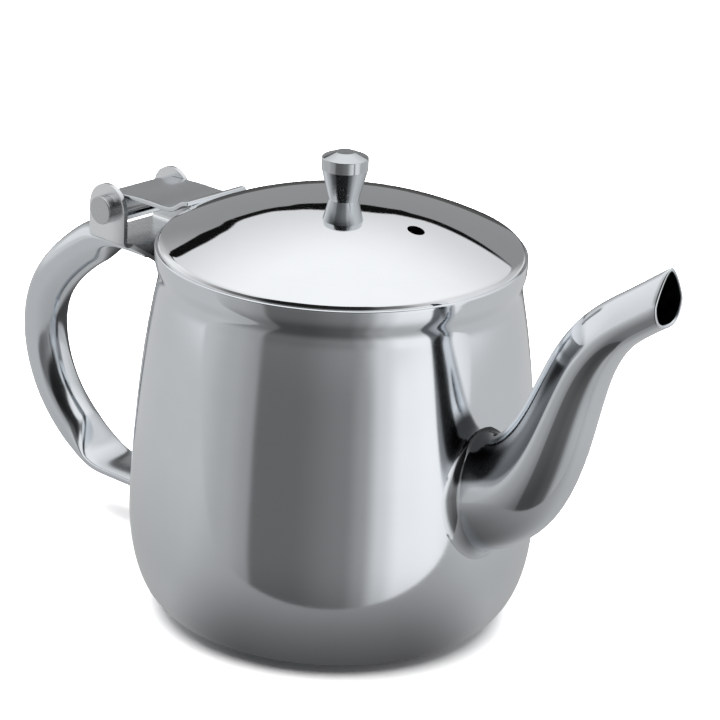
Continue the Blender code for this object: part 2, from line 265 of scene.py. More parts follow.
def turned(name, outline, mat, segments=192, along="Z", centre=(0.0, 0.0, 0.0), sharp=SHARP_ANGLE):
    """Lathe skin of a (radius, height) outline; an outline that ends on the axis gets poles."""
    bm = bmesh.new()
    rings = []
    for r, z in outline:
        if r < 1e-6:
            rings.append([bm.verts.new((0.0, 0.0, z))])
        else:
            rings.append([bm.verts.new((r * math.cos(TAU * i / segments),
                                        r * math.sin(TAU * i / segments), z))
                          for i in range(segments)])
    for a, b in zip(rings, rings[1:] + rings[:1]):
        if len(a) == 1 and len(b) == 1:
            continue
        for i in range(segments):
            j = (i + 1) % segments
            quad = [a[0]] if len(a) == 1 else [a[i], a[j]]
            quad += [b[0]] if len(b) == 1 else [b[j], b[i]]
            bm.faces.new(quad)
    if along == "Y":
        for v in bm.verts:
            v.co = Vector((v.co.x, v.co.z, -v.co.y))
    bmesh.ops.translate(bm, vec=centre, verts=bm.verts[:])
    return finish_mesh(name, bm, mat, sharp)


def sheet(name, rows, thickness, mat, edge=0.25):
    """Sheet metal: a grid of points given thickness, with its edges broken."""
    bm = bmesh.new()
    grid = [[bm.verts.new(p) for p in row] for row in rows]
    for a, b in zip(grid, grid[1:]):
        for i in range(len(a) - 1):
            bm.faces.new((a[i], a[i + 1], b[i + 1], b[i]))
    piece = finish_mesh(name, bm, mat)
    thicken(piece, thickness, edge)
    return piece


def thicken(piece, thickness, edge):
    """Give a sheet its thickness, half to each side, and break its edges."""
    solid = piece.modifiers.new("sheet", "SOLIDIFY")
    solid.thickness = thickness * MM
    solid.offset = 0.0
    solid.use_even_offset = True
    break_edges(piece, edge)


def break_edges(piece, width):
    """Small rounding along sharp edges, with normals that keep the flat faces flat."""
    bevel = piece.modifiers.new("broken_edges", "BEVEL")
    bevel.width = width * MM
    bevel.segments = 3
    bevel.limit_method = "ANGLE"
    bevel.angle_limit = math.radians(SHARP_ANGLE)
    bevel.miter_outer = "MITER_ARC"
    flat_normals(piece)


def flat_normals(piece):
    """Normals that follow the large faces, so that roundings don't shade them."""
    weighted = piece.modifiers.new("flat_normals", "WEIGHTED_NORMAL")
    weighted.weight = 90
    weighted.keep_sharp = True


def cut(piece, cutter):
    """Take the cutter's volume out of the piece and mark its new edges."""
    mod = piece.modifiers.new("cut", "BOOLEAN")
    mod.operation = "DIFFERENCE"
    mod.solver = "EXACT"
    mod.object = cutter
    bpy.context.view_layer.objects.active = piece
    bpy.ops.object.modifier_apply(modifier=mod.name)
    bpy.data.objects.remove(cutter, do_unlink=True)
    piece.data.set_sharp_from_angle(angle=math.radians(SHARP_ANGLE))


# Steel --------------------------------------------------------------------------------------------
class Graph:
    """A material's node tree, with short ways to add and join nodes."""

    def __init__(self, name):
        self.mat = bpy.data.materials.new(name)
        self.mat.use_nodes = True
        self.nodes = self.mat.node_tree.nodes
        self.links = self.mat.node_tree.links
        self.shader = self.nodes["Principled BSDF"]

    def node(self, kind, **settings):
        made = self.nodes.new(kind)
        for key, value in settings.items():
            setattr(made, key, value)
        return made

    def put(self, socket, value):
        if isinstance(value, bpy.types.NodeSocket):
            self.links.new(value, socket)
        else:
            socket.default_value = value

    def math(self, operation, a, b=0.0, clamp=False):
        made = self.node("ShaderNodeMath", operation=operation, use_clamp=clamp)
        self.put(made.inputs[0], a)
        self.put(made.inputs[1], b)
        return made.outputs[0]

    def noise(self, vector, scale, detail=2.0, roughness=0.5):
        made = self.node("ShaderNodeTexNoise")
        self.put(made.inputs["Vector"], vector)
        made.inputs["Scale"].default_value = scale
        made.inputs["Detail"].default_value = detail
        made.inputs["Roughness"].default_value = roughness
        return made.outputs["Fac"]

    def spread(self, value, low, high, new_low, new_high):
        made = self.node("ShaderNodeMapRange", interpolation_type="SMOOTHSTEP")
        self.put(made.inputs["Value"], value)
        for key, number in (("From Min", low), ("From Max", high), ("To Min", new_low),
                            ("To Max", new_high)):
            made.inputs[key].default_value = number
        return made.outputs["Result"]


def rings_about_axis(graph):
    """Coordinates that change across the axis and along it, but not round it."""
    place = graph.node("ShaderNodeTexCoord").outputs["Object"]
    split = graph.node("ShaderNodeSeparateXYZ")
    graph.put(split.inputs[0], place)
    x, y, z = split.outputs
    radius = graph.math("SQRT", graph.math("ADD", graph.math("MULTIPLY", x, x),
                                           graph.math("MULTIPLY", y, y)))
    join = graph.node("ShaderNodeCombineXYZ")
    graph.put(join.inputs[0], radius)
    graph.put(join.inputs[2], z)
    return join.outputs[0]


def stretched(graph, scale):
    """Object coordinates scaled by a different number along each axis."""
    place = graph.node("ShaderNodeTexCoord").outputs["Object"]
    mapping = graph.node("ShaderNodeMapping")
    graph.put(mapping.inputs["Vector"], place)
    mapping.inputs["Scale"].default_value = scale
    return mapping.outputs["Vector"]


def steel(name, tone, rough, grain, grain_size=2600.0, rough_spread=0.05, bump=0.02, dents=0.0,
          painted_shade_span=None, painted_shade_spot=None):
    """Stainless steel with fine grain lines, cloudy polish and cloudy tone, and hairline scratches.

    heat = (x0, x1) is a painted dark reflection: it darkens the steel from x0 towards x1, in mm, towards
    where the web meets the neck;
    stain = (x, z, radius) is painted shade: it darkens the steel round (x, z) in the X-Z plane, in the
    saddle above the spout's weld to the belly.
    """
    graph = Graph(name)
    shader = graph.shader
    shader.inputs["Metallic"].default_value = 1.0
    place = graph.node("ShaderNodeTexCoord").outputs["Object"]
    if grain == "rings":
        lines = graph.noise(rings_about_axis(graph), grain_size, 3.0, 0.65)
    else:
        lines = graph.noise(stretched(graph, grain), grain_size, 3.0, 0.65)
    clouds = graph.noise(place, 55.0, 3.0, 0.55)
    hair = graph.noise(stretched(graph, (90.0, 700.0, 1400.0)), 1.0, 1.0)
    scratches = graph.spread(hair, 0.70, 0.78, 0.0, 1.0)

    polish = graph.math("ADD", graph.math("MULTIPLY", lines, rough_spread),
                        graph.math("MULTIPLY", clouds, 0.6 * rough_spread))
    polish = graph.math("ADD", polish, graph.math("MULTIPLY", scratches, 0.05))
    polish = graph.math("ADD", polish, rough - 0.8 * rough_spread)
    graph.put(shader.inputs["Roughness"], polish)

    worn = graph.spread(clouds, 0.25, 0.75, 0.97, 1.0)
    shade = graph.math("MULTIPLY", worn, graph.spread(lines, 0.2, 0.8, 0.985, 1.0))
    # painted dark reflection: the steel darkens towards the neck, across the given span of x
    if painted_shade_span:
        split = graph.node("ShaderNodeSeparateXYZ")
        graph.put(split.inputs[0], place)
        uneven = graph.math("ADD", split.outputs[0], graph.math("MULTIPLY", clouds, 4.0 * MM))
        painted_darkening = graph.spread(uneven, painted_shade_span[0] * MM, painted_shade_span[1] * MM, 1.0, 0.10)
        shade = graph.math("MULTIPLY", shade, painted_darkening)
    # painted shade: the steel darkens round a point in the X-Z plane, over the given radius
    if painted_shade_spot:
        split = graph.node("ShaderNodeSeparateXYZ")
        graph.put(split.inputs[0], place)
        off_x = graph.math("SUBTRACT", split.outputs[0], painted_shade_spot[0] * MM)
        off_z = graph.math("SUBTRACT", split.outputs[2], painted_shade_spot[1] * MM)
        away = graph.math("SQRT", graph.math("ADD", graph.math("MULTIPLY", off_x, off_x),
                                             graph.math("MULTIPLY", off_z, off_z)))
        uneven = graph.math("ADD", away, graph.math("MULTIPLY", clouds, 2.0 * MM))
        painted_darkening = graph.spread(uneven, 0.5 * painted_shade_spot[2] * MM, painted_shade_spot[2] * MM, 0.06, 1.0)
        shade = graph.math("MULTIPLY", shade, painted_darkening)
    colour = graph.node("ShaderNodeCombineColor")
    for socket, part in zip(colour.inputs, tone):
        graph.put(socket, graph.math("MULTIPLY", shade, part))
    graph.put(shader.inputs["Base Color"], colour.outputs[0])

    relief = graph.node("ShaderNodeBump")
    relief.inputs["Strength"].default_value = 1.0
    relief.inputs["Distance"].default_value = bump * 0.1 * MM
    graph.put(relief.inputs["Height"], lines)
    top = relief
    if dents:
        swell = graph.node("ShaderNodeBump")
        swell.inputs["Strength"].default_value = 1.0
        swell.inputs["Distance"].default_value = dents * MM
        graph.put(swell.inputs["Height"], graph.noise(place, 38.0, 1.0))
        graph.put(swell.inputs["Normal"], relief.outputs["Normal"])
        top = swell
    graph.put(shader.inputs["Normal"], top.outputs["Normal"])
    return graph.mat


POT_STEEL = steel("pot_steel", (0.805, 0.835, 0.87), 0.10, "rings", dents=0.03)
LID_STEEL = steel("polished_steel", (0.845, 0.865, 0.89), 0.035, "rings", rough_spread=0.02,
                  dents=0.02)
SATIN_STEEL = steel("satin_steel", (0.77, 0.80, 0.83), 0.17, (1.0, 14.0, 14.0), grain_size=180.0)
# the bracket's steel carries a painted dark reflection on the web towards the neck
BRACKET_STEEL = steel("bracket_steel", (0.90, 0.92, 0.94), 0.26, (3.0, 3.0, 14.0), grain_size=180.0,
                      rough_spread=0.08, painted_shade_span=(-68.0, -55.0))
HANDLE_STEEL = steel("handle_steel", (0.72, 0.75, 0.785), 0.15, (1.0, 14.0, 14.0),
                     grain_size=180.0)
# the spout's steel carries painted shade in the saddle above its root
SPOUT_STEEL = steel("spout_steel", (0.77, 0.80, 0.835), 0.085, (6.0, 14.0, 6.0), grain_size=160.0,
                    dents=0.02, painted_shade_spot=(51.5, SPOUT_ROOT_Z + 14.5, 9.5))
TURNED_STEEL = steel("turned_steel", (0.64, 0.665, 0.69), 0.10, "rings", grain_size=5200.0,
                     rough_spread=0.06, bump=0.12)
RIVET_STEEL = steel("rivet_steel", (0.62, 0.63, 0.64), 0.28, (20.0, 3.0, 20.0), grain_size=120.0,
                    rough_spread=0.12, bump=0.1)


# Pot ----------------------------------------------------------------------------------------------
def body_radius(z):
    """Outer radius of the body at height z, below the collar's step."""
    if z >= BELLY_Z:
        t = (z - BELLY_Z) / (RIM_Z - COLLAR_HEIGHT - BELLY_Z)
        return BELLY_R - (BELLY_R - NECK_SKIN_R) * (0.45 * t + 0.55 * t ** 2.8)
    t = (BELLY_Z - z) / BELLY_Z
    return BASE_R + (BELLY_R - BASE_R) * (1.0 - t ** BASE_CORNER) ** (1 / BASE_CORNER)


def pot_outline():
    """Outer side from the middle of the base to just under the lip, smooth where sheet is drawn."""
    line = [(0.0, 0.0), (BASE_R * 0.6, 0.0)]
    for i in range(60):
        a = math.radians(90.0 * i / 60)
        z = BELLY_Z * (1.0 - math.cos(a) ** (2 / BASE_CORNER))
        line.append((body_radius(z), z))
    neck_z = RIM_Z - COLLAR_HEIGHT
    line += [(body_radius(BELLY_Z + (neck_z - BELLY_Z) * i / 80), BELLY_Z + (neck_z - BELLY_Z) * i / 80)
             for i in range(81)]
    for i in range(1, 13):
        t = i / 12
        line.append((NECK_SKIN_R + (RIM_R - NECK_SKIN_R) * smooth_step(t),
                     neck_z + (COLLAR_HEIGHT - COLLAR_STRAIGHT) * t))
    line.append((RIM_R, RIM_Z - LIP_DROP - WALL / 2))
    line = resample(line, 0.6)
    weight = [smooth_step((r - 24.0) / 8.0) * smooth_step((neck_z + 1.0 - z) / 10.0) for r, z in line]
    line = relax(line, 60, weight)
    return relax(line, 9)


POT_OUTLINE = pot_outline()


def skin_radius(z):
    """Outer radius of the finished pot at height z."""
    side = POT_OUTLINE[POT_OUTLINE[:, 1] > 0.05]
    return float(np.interp(z, side[:, 1], side[:, 0]))


def pot_shell():
    """Drawn shell of one wall thickness, with a round lip and the strainer's holes."""
    outer = POT_OUTLINE
    inner = outer + normals_left(outer) * WALL
    inner[0] = (0.0, WALL)
    lip_r = outer[-1][0] - WALL / 2
    lip = [(lip_r + WALL / 2 * math.cos(a), outer[-1][1] + WALL / 2 * math.sin(a))
           for a in (math.pi * k / 10 for k in range(1, 10))]
    profile = [tuple(p) for p in outer] + lip + [tuple(p) for p in inner[::-1]]
    pot = turned("pot_shell", profile, POT_STEEL, segments=200)
    cut(pot, strainer_punches())
    return pot


def strainer_punches():
    """Punches of the strainer that the spout covers."""
    bm = bmesh.new()
    for row in range(4):
        z = SPOUT_ROOT_Z + (row - 1.5) * STRAINER_PITCH
        columns = (-0.5, 0.5) if row % 2 == 0 else (-1.0, 0.0, 1.0)
        for column in columns:
            made = bmesh.ops.create_cone(bm, cap_ends=True, segments=28, radius1=STRAINER_HOLE_R,
                                         radius2=STRAINER_HOLE_R, depth=16.0)["verts"]
            for v in made:
                v.co = Vector((v.co.z + STRAINER_X, v.co.x + column * STRAINER_PITCH, v.co.y + z))
    return finish_mesh("strainer_punches", bm, POT_STEEL)


# Spout --------------------------------------------------------------------------------------------
SPOUT_CURVE = smooth_curve(SPOUT_STATIONS)
FILLET_R = 2.6       # polished weld between the spout and the belly, tighter on top


def spout_point(t, angle, inset):
    """Point of the spout's skin; its section turns from an oval to a drop with a ridge on top."""
    x, z, height, width = SPOUT_CURVE(t)
    step = SPOUT_CURVE(min(t + 0.01, 1.0)) - SPOUT_CURVE(max(t - 0.01, 0.0))
    dx, dz = step[:2] / np.linalg.norm(step[:2])
    towards_mouth = smooth_step((t - 0.15) / 0.6)
    low_belly = 0.16 * towards_mouth
    ridge = 0.14 + 0.26 * towards_mouth
    across = math.sin(angle)
    if across > 0.0:
        side = math.cos(angle) * (1.0 - ridge * across)
        across = -low_belly + (1.0 + low_belly) * across
    else:
        side = math.copysign(abs(math.cos(angle)) ** (1.0 - 0.2 * towards_mouth), math.cos(angle))
        across = -low_belly + (1.0 - low_belly) * across
    half_h = height / 2 - inset
    half_w = width / 2 - inset
    return np.array((x - dz * across * half_h, side * half_w, z + dx * across * half_h))


def bisect(inside, low, high):
    """The place between low and high where inside(t) stops being true."""
    for _ in range(24):
        middle = (low + high) / 2
        if inside(middle):
            low = middle
        else:
            high = middle
    return (low + high) / 2


def spout_pipe():
    """Hollow pipe from the belly's skin to an upright cut at the mouth, with a filleted root."""
    count = 96
    rows = 110

    def in_pot(t, angle, inset):
        x, y, z = spout_point(t, angle, inset)
        return math.hypot(x, y) < skin_radius(z) - 0.25

    def before_mouth(t, angle, inset):
        return spout_point(t, angle, inset)[0] < MOUTH_X - 0.35

    def rings(inset):
        made = [[] for _ in range(rows + 1)]
        for i in range(count):
            angle = TAU * i / count
            first = next(k / 60 for k in range(60) if not in_pot(k / 60, angle, inset))
            start = bisect(lambda t: in_pot(t, angle, inset), first - 1 / 60, first)
            end = bisect(lambda t: before_mouth(t, angle, inset), 0.8, 1.0)
            for k in range(rows + 1):
                u = (k / rows) ** 1.7
                made[k].append(spout_point(start + (end - start) * u, angle, inset))
        return made

    def fillet(p, angle):
        """Push the skin outward where it meets the belly, along the belly."""
        room = math.hypot(p[0], p[1]) - skin_radius(p[2])
        reach = FILLET_R * (1.0 - 0.7 * max(math.sin(angle), 0.0))
        if room >= reach:
            return p
        depth = reach * (1.0 - math.sqrt(max(1.0 - (1.0 - max(room, 0.0) / reach) ** 2, 0.0)))
        x, y, z = p + np.array((0.0, math.cos(angle), math.sin(angle))) * depth
        return np.array((math.sqrt((skin_radius(z) + room) ** 2 - y * y), y, z))

    outer = rings(0.0)
    for ring in outer:
        for i in range(count):
            ring[i] = fillet(ring[i], TAU * i / count)
    bore = rings(SPOUT_WALL)
    lip = []
    for k in range(1, 6):
        a = math.pi * k / 6
        share = (1.0 - math.cos(a)) / 2
        ring = []
        for p, q in zip(outer[-1], bore[-1]):
            point = p * (1.0 - share) + q * share
            ring.append(point + np.array((0.35 * math.sin(a), 0.0, 0.0)))
        lip.append(ring)
    return ring_skin("spout_pipe", outer + lip + bore[::-1], SPOUT_STEEL)


# Handle -------------------------------------------------------------------------------------------
HANDLE_CURVE = smooth_curve(HANDLE_LINE)
CREASE_DEPTH = 0.9   # pressed groove along the middle of the lower tab


def handle_tube():
    """Bent tube whose two ends are pressed flat, the lower one with a crease along its middle."""
    count = 64
    rows = 220

    def ring(t, inset):
        x, z = HANDLE_CURVE(t)
        step = HANDLE_CURVE(min(t + 0.006, 1.0)) - HANDLE_CURVE(max(t - 0.006, 0.0))
        dx, dz = step / np.linalg.norm(step)
        round_part = smooth_step((t - 0.10) / 0.16) * smooth_step((0.81 - t) / 0.09)
        flat_h = TAB_T / 2 if inset == 0.0 else TAB_SLIT / 2
        flat_w = TAB_W / 2 - 1.1 * inset
        half_h = flat_h + (TUBE_R - inset - flat_h) * round_part
        half_w = flat_w + (TUBE_R - inset - flat_w) * round_part
        power = 0.42 + 0.58 * round_part
        creased = smooth_step((t - 0.80) / 0.06) * CREASE_DEPTH
        points = []
        for i in range(count):
            a = TAU * i / count
            s, c = math.sin(a), math.cos(a)
            across = math.copysign(abs(s) ** power, s) * half_h
            side = c * half_w
            if inset == 0.0 and s < 0.0:
                across += creased * bell(side, 1.3)
            points.append((x - dz * across, side, z + dx * across))
        return points

    last = bisect(lambda t: math.hypot(HANDLE_CURVE(t)[0], TAB_W / 2)
                  > skin_radius(HANDLE_CURVE(t)[1]) - 1.5, 0.8, 1.0)
    outer = [ring(last * k / rows, 0.0) for k in range(rows + 1)]
    bore = [ring(last * k / rows, TUBE_WALL) for k in range(rows + 1)]
    return ring_skin("handle_tube", outer + bore[::-1], HANDLE_STEEL)


# Hinge --------------------------------------------------------------------------------------------
def bracket_sheet():
    """One strip: a web welded to the neck, and two round-topped ears folded up from it."""
    fold_r = 1.4
    half_w = BRACKET_HALF_W - BRACKET_SHEET / 2
    ear_top = PIN_Z + EAR_R - WEB_MID_Z
    ear_mid = PIN_Z - WEB_MID_Z
    right = PIN_X + EAR_R
    neck_x = -NECK_R + WALL / 2

    def folded(s):
        """(y, z) of the strip at distance s from its middle, measured over the fold."""
        flat = half_w - fold_r
        turn = fold_r * math.pi / 2
        side = math.copysign(1.0, s)
        s = abs(s)
        if s <= flat:
            return side * s, WEB_MID_Z
        if s <= flat + turn:
            a = (s - flat) / fold_r
            return side * (flat + fold_r * math.sin(a)), WEB_MID_Z + fold_r * (1.0 - math.cos(a))
        return side * half_w, WEB_MID_Z + fold_r + (s - flat - turn)

    reach = half_w - fold_r + fold_r * math.pi / 2 + ear_top - fold_r
    flat = half_w - fold_r
    stations = [flat + fold_r * math.pi / 2 * k / 6 for k in range(7)]
    straight = reach - EAR_R - stations[-1]
    stations += [stations[-1] + straight * k / 4 for k in range(1, 5)]
    stations += [reach - EAR_R + EAR_R * math.sin(math.radians(a)) for a in range(5, 86, 5)]
    web = [flat * k / 8 for k in range(8)]
    across = [-s for s in stations[::-1]] + [-s for s in web[:0:-1]] + web + stations

    bm = bmesh.new()
    columns = 16
    grid = []
    for s in across:
        y, z = folded(s)
        height = z - WEB_MID_Z
        half = EAR_R
        if height > ear_mid:
            half = math.sqrt(max(EAR_R ** 2 - (height - ear_mid) ** 2, 0.0))
        x0, x1 = PIN_X - half, PIN_X + half
        grid.append([bm.verts.new((x0 + (x1 - x0) * i / columns, y, z)) for i in range(columns + 1)])
    for a, b in zip(grid, grid[1:]):
        for i in range(columns):
            bm.faces.new((a[i], a[i + 1], b[i + 1], b[i]))
    tail = []
    for s, row in zip(across, grid):
        if abs(s) > flat + 1e-6:
            continue
        verts = [row[-1]]
        for i in range(1, 25):
            u = i / 24
            x = right + (neck_x - right) * u
            y, z = folded(s)
            verts.append(bm.verts.new((x, y, z - WEB_DROP * smooth_step(u * 1.2))))
        tail.append(verts)
    for a, b in zip(tail, tail[1:]):
        for i in range(len(a) - 1):
            bm.faces.new((a[i], a[i + 1], b[i + 1], b[i]))
    piece = finish_mesh("bracket_sheet", bm, BRACKET_STEEL, sharp=180.0)
    thicken(piece, BRACKET_SHEET, 0.28)
    return piece


def rivet():
    """Rivet through both ears: a flat head on the near side, a closed domed head on the far side."""
    seat = BRACKET_HALF_W
    near = -seat - GAP - PIN_HEAD_T
    profile = rounded([(0.0, near), (PIN_HEAD_R, near), (PIN_HEAD_R, -seat), (PIN_R, -seat),
                       (PIN_R, seat), (PIN_HEAD_R, seat), (PIN_HEAD_R - 0.3, seat + 0.9),
                       (PIN_HEAD_R - 1.5, seat + 1.5), (0.0, seat + 1.9)],
                      (0, 0.35, 0.1, 0, 0, 0.1, 0.6, 0.8, 0))
    piece = turned("rivet", profile, RIVET_STEEL, segments=96, along="Y", centre=(PIN_X, 0, PIN_Z))
    flat_normals(piece)
    return piece


def leaf_sheet():
    """Hinge leaf: rolled round the rivet, dished, its front lip turned up over the lid's edge."""
    mid_r = KNUCKLE_R - LEAF_SHEET / 2
    top = PIN_Z + mid_r
    roll = [(PIN_X + mid_r * math.cos(math.radians(a)), PIN_Z + mid_r * math.sin(math.radians(a)))
            for a in range(-60, -271, -6)]
    plate = [(PIN_X + 3.0, top + 0.15), (-60.0, RIM_Z - 1.8), (-53.0, RIM_Z - 1.75),
             (-49.5, RIM_Z - 1.5), (-47.6, RIM_Z - 0.8), (-45.6, RIM_Z + 0.75),
             (-44.2, RIM_Z + 1.35), (-42.9, RIM_Z + 1.5)]
    curve = smooth_curve([roll[-3], roll[-2], roll[-1]] + plate)
    line = roll[:-1] + [tuple(curve(u)) for u in np.linspace(0.2, 1.0, 60)]
    line = relax(resample(line, 0.5), 6)
    columns = 24
    rows = [[(x, LEAF_HALF_W * (2.0 * i / columns - 1.0), z) for i in range(columns + 1)]
            for x, z in line]
    return sheet("leaf_sheet", rows, LEAF_SHEET, SATIN_STEEL)


# Lid ----------------------------------------------------------------------------------------------
def lid_dome():
    """Domed sheet turned down into a skirt, with the screw's hole and the steam vent."""
    screw_r = SCREW_HIGH.x / 2
    outer = [(r, RIM_Z + LID_RISE * (1.0 - (r / LID_R) ** 2))
             for r in np.linspace(screw_r, LID_R - 0.3 * LID_EDGE, 90)]
    for k in range(1, 9):
        u = k / 8
        outer.append((LID_R - LID_SKIRT_DRAFT * u, RIM_Z - LID_EDGE - (LID_SKIRT - LID_EDGE) * u))
    outer = resample(outer, 0.2)
    near_edge = [bell(max(abs(z - RIM_Z + 0.2) - 0.5, 0.0), 0.8) if r > LID_R - 3.0 else 0.02
                 for r, z in outer]
    outer = relax(outer, 20, near_edge)
    inner = outer + normals_left(outer) * LID_SHEET
    inner[0] = (screw_r, RIM_Z + LID_RISE - LID_SHEET)
    profile = [tuple(p) for p in outer] + [tuple(p) for p in inner[::-1]]
    lid = turned("lid_dome", profile, LID_STEEL, segments=200)
    r, a = VENT_POLAR[0], math.radians(VENT_POLAR[1])
    low, high = RIM_Z - LID_SKIRT, RIM_Z + 2 * LID_RISE
    drill = turned("vent_drill", [(0, low), (VENT_R, low), (VENT_R, high), (0, high)], LID_STEEL,
                   segments=64, centre=(r * math.cos(a), r * math.sin(a), 0))
    cut(lid, drill)
    return lid


def knob():
    """Turned knob: a chamfered head over a cone that narrows to a small foot."""
    top = KNOB_HIGH.z
    foot = RIM_Z + LID_RISE - 0.1
    head_r = KNOB_HIGH.x
    profile = [(0.0, top), (KNOB_FACE_R, top), (head_r, top - KNOB_CHAMFER),
               (head_r, top - KNOB_HEAD_END), (KNOB_FOOT_R, foot + 0.1), (KNOB_FOOT_R, foot),
               (0.0, foot)]
    radii = (0, 0.25, 0.35, 0.5, 0, 0, 0)
    piece = turned("knob", rounded(profile, radii), TURNED_STEEL, segments=160)
    flat_normals(piece)
    return piece


def screw():
    """Pan-head screw under the lid, with a driver slot."""
    low, high = SCREW_LOW.z, SCREW_HIGH.z
    head_r = SCREW_HIGH.x
    shank_r = head_r / 2
    seat = WASHER_LOW.z
    profile = rounded([(0.0, low), (head_r - 0.9, low + 0.1), (head_r, low + 1.1), (head_r, seat),
                       (shank_r, seat), (shank_r, high), (0.0, high)], (0, 1.0, 0.4, 0.1, 0, 0.2, 0))
    piece = turned("screw", profile, RIVET_STEEL, segments=72)
    bm = bmesh.new()
    bmesh.ops.create_cube(bm, size=1.0)
    bmesh.ops.scale(bm, vec=(4 * head_r, 0.8, 2.0), verts=bm.verts[:])
    bmesh.ops.translate(bm, vec=(0, 0, low), verts=bm.verts[:])
    cut(piece, finish_mesh("driver_slot", bm, RIVET_STEEL))
    return piece


def washer():
    """Flat washer between the screw's head and the dome."""
    inner = SCREW_HIGH.x / 2 + GAP
    profile = [(inner, WASHER_HIGH.z), (WASHER_HIGH.x, WASHER_HIGH.z), (WASHER_HIGH.x, WASHER_LOW.z),
               (inner, WASHER_LOW.z)]
    return turned("washer", rounded(profile, 0.2, closed=True), RIVET_STEEL, segments=96)


# Pieces on their bodies ---------------------------------------------------------------------------
for make, node, body, slot in (
        (pot_shell, "pot_body", "pot", "pot_steel"),
        (spout_pipe, "spout", "pot", "pot_steel"),
        (handle_tube, "handle", "pot", "satin_steel"),
        (bracket_sheet, "hinge_bracket", "pot", "satin_steel"),
        (rivet, "hinge_rivet", "pot", "rivet_steel"),
        (lid_dome, "lid_shell", "lid", "polished_steel"),
        (leaf_sheet, "lid_leaf", "lid", "satin_steel"),
        (knob, "lid_knob", "lid", "turned_steel"),
        (screw, "knob_screw", "lid", "rivet_steel"),
        (washer, "knob_washer", "lid", "rivet_steel")):
    piece = make()
    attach(piece, body)
    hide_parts(node)


# Floor --------------------------------------------------------------------------------------------
SWEEP_TONE = 0.92
CONTACT_SHADE = (20.0, 105.0, 0.05, 0.34)    # towards the camera: from, to (mm), brightness at each
SIDE_SHADES = (                              # towards the sides: the same, added up
    (0.0, 60.0, 0.15, 0.46),
    (40.0, 200.0, 0.0, 0.12),
    (400.0, 1300.0, 0.0, 0.27),
)
REAR_SHADE = 0.12    # how much of its light the table keeps right behind the pot


def sweep_material():
    """Plain matt white."""
    graph = Graph("sweep")
    graph.shader.inputs["Base Color"].default_value = (SWEEP_TONE, SWEEP_TONE, SWEEP_TONE, 1.0)
    graph.shader.inputs["Roughness"].default_value = 0.9
    graph.shader.inputs["Specular IOR Level"].default_value = 0.0
    return graph.mat


def table_material():
    """Glowing grey table top, darker towards the pot; the front of it is its own -Y."""
    graph = Graph("table")
    place = graph.node("ShaderNodeTexCoord").outputs["Object"]
    length = graph.node("ShaderNodeVectorMath", operation="LENGTH")
    graph.put(length.inputs[0], place)
    distance = graph.math("DIVIDE", length.outputs["Value"], MM)
    split = graph.node("ShaderNodeSeparateXYZ")
    graph.put(split.inputs[0], place)
    towards = graph.math("DIVIDE", graph.math("MULTIPLY", split.outputs[1], -1.0),
                         length.outputs["Value"])
    share = graph.spread(towards, 0.30, 0.90, 0.0, 1.0)
    front = graph.math("MULTIPLY", share, graph.spread(distance, *CONTACT_SHADE))
    side_tone = 0.0
    for shade in SIDE_SHADES:
        side_tone = graph.math("ADD", graph.spread(distance, *shade), side_tone)
    side = graph.math("MULTIPLY", graph.math("SUBTRACT", 1.0, share), side_tone)
    graph.shader.inputs["Base Color"].default_value = (0.0, 0.0, 0.0, 1.0)
    graph.shader.inputs["Specular IOR Level"].default_value = 0.0
    graph.shader.inputs["Emission Color"].default_value = (1.0, 1.0, 1.0, 1.0)
    shaded = graph.spread(towards, -0.97, -0.85, REAR_SHADE, 1.0)
    light = graph.math("MULTIPLY", graph.math("ADD", front, side), shaded)
    graph.put(graph.shader.inputs["Emission Strength"], light)
    return graph.mat


def flat_plane(name, x0, x1, y0, y1, z, turn, mat):
    """Upward-facing rectangle in metres, turned about Z, that belongs to the set."""
    mesh = bpy.data.meshes.new(name)
    mesh.from_pydata([(x0, y0, z), (x1, y0, z), (x1, y1, z), (x0, y1, z)], [], [(0, 1, 2, 3)])
    mesh.materials.append(mat)
    plane = bpy.data.objects.new(name, mesh)
    plane.rotation_euler = (0.0, 0.0, turn)
    bpy.context.scene.collection.objects.link(plane)
    return plane


def floor():
    """A pale sweep that the camera sees, and a grey table top that only the steel reflects."""
    sweep = flat_plane("sweep", -6.0, 6.0, -6.0, 6.0, 0.0, 0.0, sweep_material())
    sweep.visible_glossy = False
    table = flat_plane("table", -1.4, 1.4, -TABLE_FRONT * MM, 2.0, 0.00005, CAMERA_AZIMUTH,
                       table_material())
    table.visible_camera = False
    table.visible_diffuse = False
    table.visible_shadow = False


# Light --------------------------------------------------------------------------------------------
LOW_LIGHT = (        # azimuth in degrees from the spout, brightness below the horizon
    (-180.0, 0.66), (-160.0, 0.57), (-135.0, 0.61), (-110.0, 0.46), (-95.0, 0.36), (-91.5, 0.155),
    (-70.0, 0.155), (-40.0, 0.23), (-30.0, 0.36), (-20.0, 0.75), (-8.0, 1.04), (12.0, 1.10),
    (26.0, 1.00), (45.0, 0.75), (60.0, 0.65), (90.0, 0.74), (103.0, 0.45), (115.0, 0.30),
    (150.0, 0.32), (165.0, 0.55), (180.0, 0.66),
)
HORIZON_LIGHT = (    # azimuth, brightness from the horizon up to the ceiling
    (-180.0, 1.00), (-165.0, 1.00), (-145.0, 0.80), (-128.0, 0.71), (-112.0, 0.50), (-100.0, 0.43),
    (-90.0, 0.19), (-74.0, 0.19), (-35.0, 0.31), (-20.0, 0.75), (12.0, 1.00), (45.0, 0.85),
    (85.0, 0.62), (105.0, 0.31), (150.0, 0.32), (165.0, 0.60), (180.0, 1.00),
)
